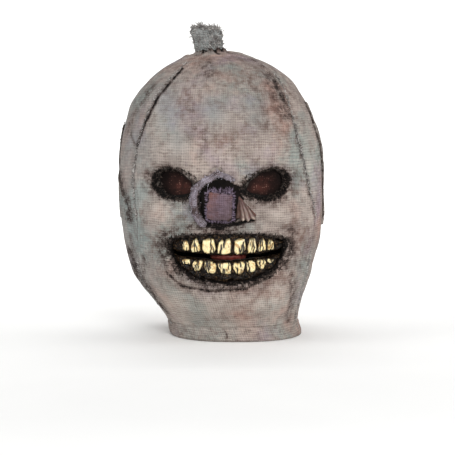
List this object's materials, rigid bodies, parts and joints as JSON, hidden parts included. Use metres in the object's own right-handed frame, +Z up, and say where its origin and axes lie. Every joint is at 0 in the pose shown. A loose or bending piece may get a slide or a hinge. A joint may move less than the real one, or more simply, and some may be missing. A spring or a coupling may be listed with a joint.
{
  "type": "full-head latex mask",
  "caption": "Full-head latex mask shaped like a stuffed sack, with glued cloth panels, angry eye holes, a torn nose and two rows of teeth; the jaw flexes.",
  "frame": {"origin": "centre of the bounding box at the level of the neck hem", "axes": "+Z up through the crown, -Y out of the face, +X to the viewer's right when looking at the face"},
  "size_m": [0.2102, 0.237, 0.3035],
  "materials": {
    "latex_skin": "matt moulded latex, painted grey-beige with brown shading",
    "sackcloth": "coarse gauze stiffened with latex, dry-brushed grey",
    "dark_sackcloth": "coarse gauze, dark grey, frayed",
    "mauve_cloth": "thin gauze, mauve-grey",
    "screen_mesh": "see-through mesh, black-brown",
    "gum_latex": "glossy black-brown painted latex",
    "tongue_latex": "dull red, damp gloss",
    "tooth_resin": "yellow-cream painted teeth, brown in the cracks",
    "sewing_thread": "dark waxed thread"
  },
  "bodies": {
    "head": {"back_cloth": "sackcloth", "crown_tuft": "dark_sackcloth", "ear_patch_left": "dark_sackcloth", "ear_patch_right": "dark_sackcloth", "eye_screen_left": "screen_mesh", "eye_screen_right": "screen_mesh", "face_cloth": "sackcloth", "hem_roll_back": "sackcloth", "latex_head_skin": "latex_skin", "nose_patch": "mauve_cloth", "nose_rim": "sackcloth", "nostril_flare": "latex_skin", "seam_thread_left": "sewing_thread", "seam_thread_right": "sewing_thread", "side_cloth_left": "sackcloth", "side_cloth_right": "sackcloth", "tuft_collar": "dark_sackcloth", "upper_gum": "gum_latex", "upper_tooth_1": "tooth_resin", "upper_tooth_2": "tooth_resin", "upper_tooth_3": "tooth_resin", "upper_tooth_4": "tooth_resin", "upper_tooth_5": "tooth_resin", "upper_tooth_6": "tooth_resin", "upper_tooth_7": "tooth_resin", "upper_tooth_8": "tooth_resin"},
    "jaw": {"chin_cloth": "sackcloth", "hem_roll_front_left": "sackcloth", "hem_roll_front_right": "sackcloth", "latex_jaw_skin": "latex_skin", "lip_thread": "sewing_thread", "lower_gum": "gum_latex", "lower_tooth_1": "tooth_resin", "lower_tooth_2": "tooth_resin", "lower_tooth_3": "tooth_resin", "lower_tooth_4": "tooth_resin", "lower_tooth_5": "tooth_resin", "lower_tooth_6": "tooth_resin", "lower_tooth_7": "tooth_resin", "lower_tooth_8": "tooth_resin", "tongue": "tongue_latex"}
  },
  "joints": [
    {"name": "jaw_hinge", "type": "hinge", "parent": "head", "child": "jaw", "pos_m": [0, -0.008, 0.122], "axis": [1, 0, 0], "range_deg": [0, 7], "stiffness_Nm_per_rad": 2, "springref_deg": -3.44}
  ]
}
